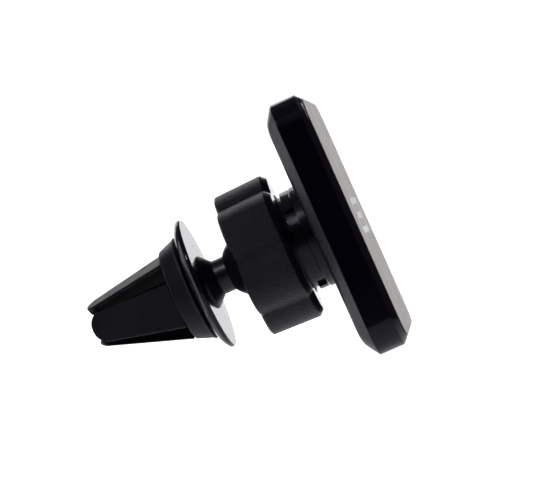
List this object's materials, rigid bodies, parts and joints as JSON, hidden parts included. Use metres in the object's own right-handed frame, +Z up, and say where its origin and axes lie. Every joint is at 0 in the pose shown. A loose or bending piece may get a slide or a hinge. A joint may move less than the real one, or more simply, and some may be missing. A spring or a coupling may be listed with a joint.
{
  "type": "car phone mount",
  "caption": "Car phone mount with rubber vent-clip jaws, stop disc, ball joint locked by a lobed hand nut, and a square magnetic plate with a soft grained pad.",
  "frame": {"origin": "between the clip's jaws, where the vent blade is gripped", "axes": "+X along the ball joint towards the phone, out of the pad's face; +Z up; +Y to the left of someone who looks at the pad's back along +X"},
  "size_m": [0.0742, 0.0666, 0.0665],
  "materials": {
    "frame_plastic": "moulded matte black",
    "jaw_rubber": "matte black rubber",
    "collar_rubber": "matte black rubber",
    "disc_gloss": "polished black",
    "stud_black": "black coated metal",
    "screw_steel": "zinc plated",
    "cup_nylon": "natural nylon",
    "pressure_rubber": "black rubber",
    "ring_nylon": "black nylon",
    "nut_plastic": "fine grained black",
    "socket_plastic": "satin black",
    "cover_gloss": "polished black",
    "frame_gloss": "polished black",
    "yoke_steel": "plain steel sheet",
    "tray_plastic": "matte black",
    "magnet_nickel": "nickel plated",
    "adhesive_film": "translucent film",
    "pad_soft": "fine grained grey, soft touch",
    "mark_white": "white inlay"
  },
  "bodies": {
    "clip": {"leg_frame": "frame_plastic", "jaw_upper": "jaw_rubber", "jaw_near": "jaw_rubber", "jaw_lower": "jaw_rubber", "jaw_far": "jaw_rubber", "collar": "collar_rubber", "flange_disc": "disc_gloss", "ball_stud": "stud_black", "clip_screw": "screw_steel"},
    "seat": {"ball_cup": "cup_nylon"},
    "pusher": {"pressure_pad": "pressure_rubber"},
    "head": {"socket_base": "socket_plastic", "socket_screws": "screw_steel", "rear_cover": "cover_gloss", "front_frame": "frame_gloss", "housing_screws": "screw_steel", "yoke_plate": "yoke_steel", "magnet_tray": "tray_plastic", "magnets": "magnet_nickel", "pad_adhesive": "adhesive_film", "phone_pad": "pad_soft", "pad_mark": "mark_white"},
    "ring": {"thrust_ring": "ring_nylon"},
    "nut": {"clamp_nut": "nut_plastic"}
  },
  "joints": [
    {"name": "ball_pitch", "type": "hinge", "parent": "clip", "child": "seat", "pos_m": [0.03496, 0, -0.00103], "axis": [0, 1, 0], "range_deg": [-17, 17]},
    {"name": "ball_yaw", "type": "hinge", "parent": "seat", "child": "pusher", "pos_m": [0.03496, 0, -0.00103], "axis": [0, 0, 1], "range_deg": [-17, 17]},
    {"name": "ball_spin", "type": "hinge", "parent": "pusher", "child": "head", "pos_m": [0.03496, 0, -0.00103], "axis": [1, 0, 0], "continuous": true},
    {"name": "nut_advance", "type": "slide", "parent": "head", "child": "ring", "axis": [1, 0, 0], "range_m": [-0.001, 0]},
    {"name": "nut_turn", "type": "hinge", "parent": "ring", "child": "nut", "pos_m": [0.03496, 0, -0.00103], "axis": [1, 0, 0], "range_deg": [-92, 0]}
  ],
  "couplings": [
    {"joint": "nut_turn", "follows": "nut_advance", "rad_per_m": 1570.8}
  ]
}
